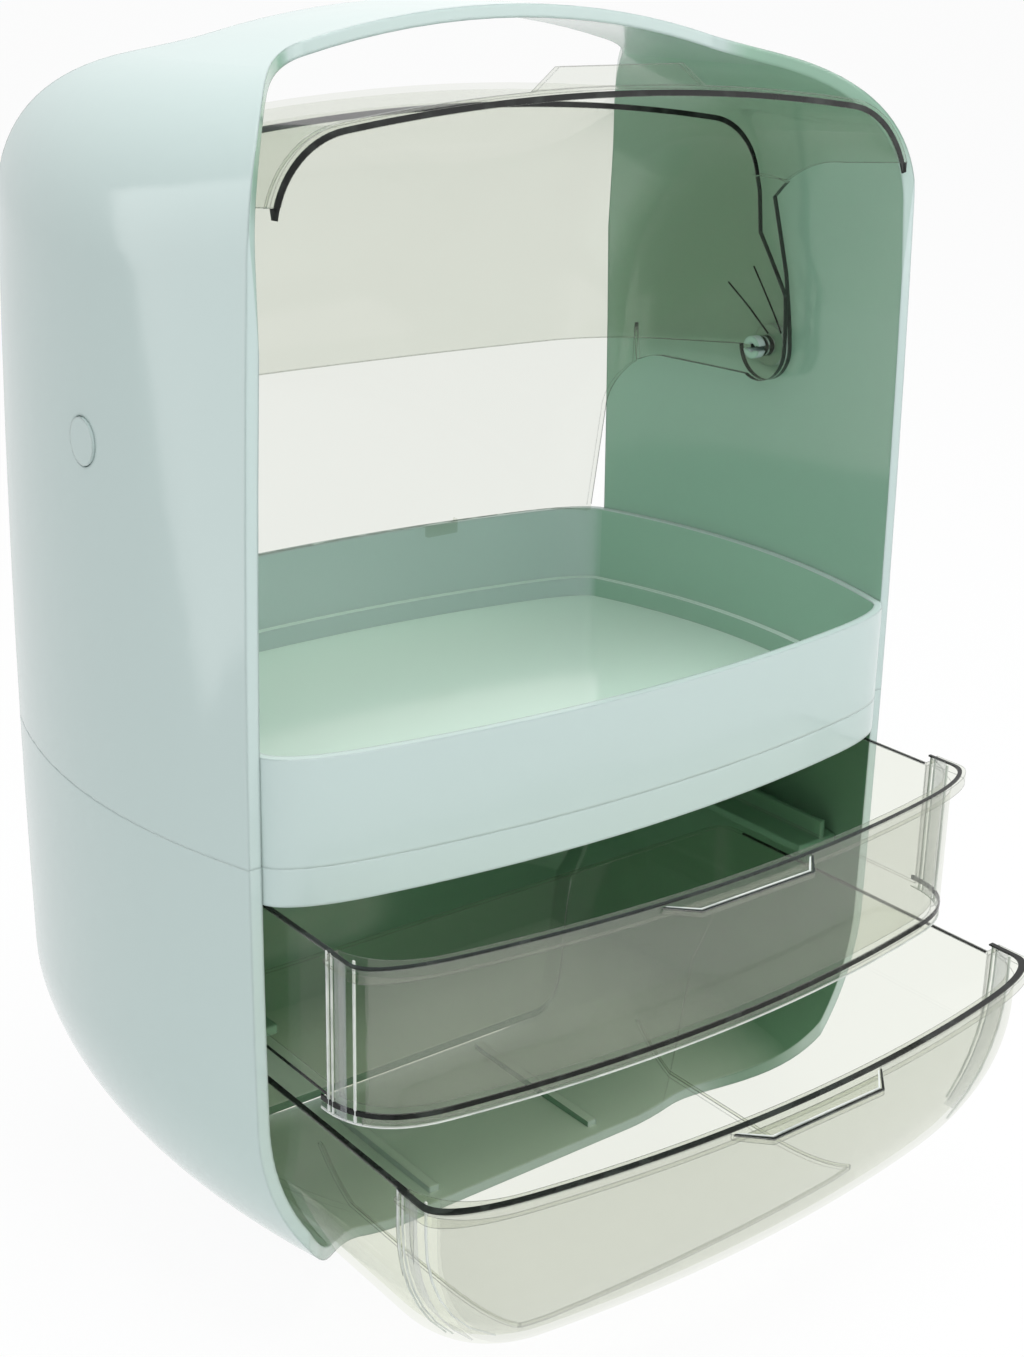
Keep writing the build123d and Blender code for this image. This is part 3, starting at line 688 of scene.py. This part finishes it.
proud, depth = thinLine["proud"], thinLine["depth"]
visor, rear = coverLines["visor"], coverLines["rear"]
addBand("visorEdgeLine", *(coverEdge(visor, draw) for draw in coverLines["draws"]),
        visor["level"] - proud, visor["level"] + depth, smokeAndShade, "visor", swingUp)
addBand("rearEdgeLine", *(coverEdge(rear, draw) for draw in coverLines["draws"]),
        -proud, depth, smokeAndShade, "case", standUp)
print("cover lines made")


# Two fine moulding ribs beside each pivot, on the dished inner face of the wall, drawn near-black
# as painted shade
ribs = {
    "inner": 127.6,
    "flatRadius": 14.0,
    "slope": 4.4 / 41,
    "width": 0.5,
    "height": 0.25,
    "sunk": 0.1,
    "steps": 12,
    "lines": (((-10.0, 288.0), (10.6, 303.8)), ((-16.5, 289.0), (-2.3, 311.2))),
}


def addRib(name, side, start, end):
    look = ribs
    corners = []
    along = (end - start).normalized()
    across = Vector((-along.y, along.x)) * look["width"] / 2
    section = ((across, -look["sunk"]), (-across, -look["sunk"]),
               (-across, look["height"]), (across, look["height"]))
    for step in range(look["steps"] + 1):
        point = start.lerp(end, step / look["steps"])
        radius = (point - Vector(coverLines["pivot"])).length
        x = look["inner"] - max(0.0, radius - look["flatRadius"]) * look["slope"]
        for offset, lift in section:
            place = point + offset
            corners.append((side * (x - lift), place.x, place.y))
    addBar(name, corners, smokeAndShade, "case")


for side, label in ((-1, "Left"), (1, "Right")):
    for number, (start, end) in enumerate(ribs["lines"]):
        addRib("hubRib%s%d" % (label, number + 1), side, Vector(start), Vector(end))
print("ribs made")


# Studio: white floor and world, soft lamps
studio = {
    "worldLight": 0.55,
    "worldShade": (0.97, 0.985, 1, 1),
    "floorHalf": 40.0,
    "floorWhite": 0.94,
    "floorShade": (0.9, 0.91, 0.91, 1),
    "key": {"place": (-1.3, -1.3, 1.3), "size": 1.3, "power": 5.0},
    "fill": {"place": (1.4, -1.3, 0.6), "size": 1.2, "power": 4.5},
    "low": {"place": (-0.7, -1.7, 0.3), "size": 1.0, "power": 1.5},
    "top": {"place": (0.1, -0.35, 1.8), "size": 1.1, "power": 20.0},
    "aim": (0.0, 0.0, 0.2),
    "panel": {"edge": ((-0.646, 0.288, 0.0), (-0.442, 0.542, 0.53)),
              "across": (-0.48, -0.876, 0.098), "width": 0.5, "power": 1.5},
}


def whiteRays(finish):
    return sum((finish.node("ShaderNodeLightPath", {}, {}, ray) for ray in
                ("Is Camera Ray", "Is Glossy Ray", "Is Transmission Ray")), start=0.0)


def makeWorld():
    world = bpy.data.worlds.new("studioWorld")
    bpy.context.scene.world = world
    finish = Finish(world)
    light = finish.node("ShaderNodeBackground", {}, {
        "Color": studio["worldShade"], "Strength": studio["worldLight"]})
    white = finish.node("ShaderNodeBackground", {}, {"Color": (1, 1, 1, 1), "Strength": 1.0})
    finish.close(finish.node("ShaderNodeMixShader", {}, {0: whiteRays(finish), 1: light, 2: white}),
                 "ShaderNodeOutputWorld")


def makeFloor():
    half = studio["floorHalf"]
    mesh = bpy.data.meshes.new("studioFloor")
    mesh.from_pydata([(-half, -half, 0), (half, -half, 0), (half, half, 0), (-half, half, 0)],
                     [], [(0, 1, 2, 3)])
    floor = bpy.data.objects.new("studioFloor", mesh)
    bpy.context.scene.collection.objects.link(floor)
    finish = Finish(bpy.data.materials.new("studioFloor"))
    glow = finish.node("ShaderNodeEmission", {}, {"Color": (1, 1, 1, 1)})
    matt = finish.node("ShaderNodeBsdfDiffuse", {}, {"Color": studio["floorShade"]})
    share = whiteRays(finish) * studio["floorWhite"]
    mesh.materials.append(finish.close(
        finish.node("ShaderNodeMixShader", {}, {0: share, 1: matt, 2: glow})))


def makeLamp(name):
    look = studio[name]
    lamp = bpy.data.lights.new(name, "AREA")
    lamp.shape = "DISK"
    lamp.size = look["size"]
    lamp.energy = look["power"]
    holder = bpy.data.objects.new(name, lamp)
    holder.location = look["place"]
    aim = Vector(studio["aim"]) - Vector(look["place"])
    holder.rotation_euler = aim.to_track_quat("-Z", "Y").to_euler()
    holder.visible_camera = False
    bpy.context.scene.collection.objects.link(holder)


def makePanel():
    # A tall soft panel that only shows as a reflection on the left side
    look = studio["panel"]
    foot, head = (Vector(end) for end in look["edge"])
    across = Vector(look["across"]).normalized()
    upright = (head - foot).normalized()
    outward = upright.cross(across).normalized()
    across = outward.cross(upright)
    lamp = bpy.data.lights.new("panel", "AREA")
    lamp.shape = "RECTANGLE"
    lamp.size = look["width"]
    lamp.size_y = (head - foot).length
    lamp.energy = look["power"]
    holder = bpy.data.objects.new("panel", lamp)
    middle = (foot + head) / 2 + across * look["width"] / 2
    if outward.dot(Vector(studio["aim"]) - middle) > 0:
        outward, across = -outward, -across
    turn = Matrix((across, upright, outward)).transposed().to_4x4()
    holder.matrix_world = Matrix.Translation(middle) @ turn
    holder.visible_camera = False
    holder.visible_diffuse = False
    bpy.context.scene.collection.objects.link(holder)


makeWorld()
makeFloor()
makePanel()
for name in ("key", "fill", "low", "top"):
    makeLamp(name)
print("studio lit")


# Camera at the photograph's viewing angle
cameraSet = {
    "place": (-0.39483, -0.48935, 0.42140),
    "azimuth": 38.03,
    "pitch": 20.033,
    "roll": 1.128,
    "sensor": 36.0,
    "lens": 71.82,
}


def makeCamera():
    azimuth, pitch, roll = (math.radians(cameraSet[angle])
                            for angle in ("azimuth", "pitch", "roll"))
    forward = Vector((math.sin(azimuth) * math.cos(pitch), math.cos(azimuth) * math.cos(pitch),
                      -math.sin(pitch)))
    right = Vector((math.cos(azimuth), -math.sin(azimuth), 0))
    up = right.cross(forward)
    across = right * math.cos(roll) + up * math.sin(roll)
    upright = up * math.cos(roll) - right * math.sin(roll)
    turn = Matrix((across, upright, -forward)).transposed().to_4x4()
    camera = bpy.data.cameras.new("camera")
    camera.sensor_fit = "HORIZONTAL"
    camera.sensor_width = cameraSet["sensor"]
    camera.lens = cameraSet["lens"]
    holder = bpy.data.objects.new("camera", camera)
    holder.matrix_world = Matrix.Translation(cameraSet["place"]) @ turn
    bpy.context.scene.collection.objects.link(holder)
    bpy.context.scene.camera = holder


makeCamera()
bpy.context.scene.view_settings.view_transform = "Standard"
bpy.context.scene.cycles.transparent_max_bounces = 40
print("camera placed")
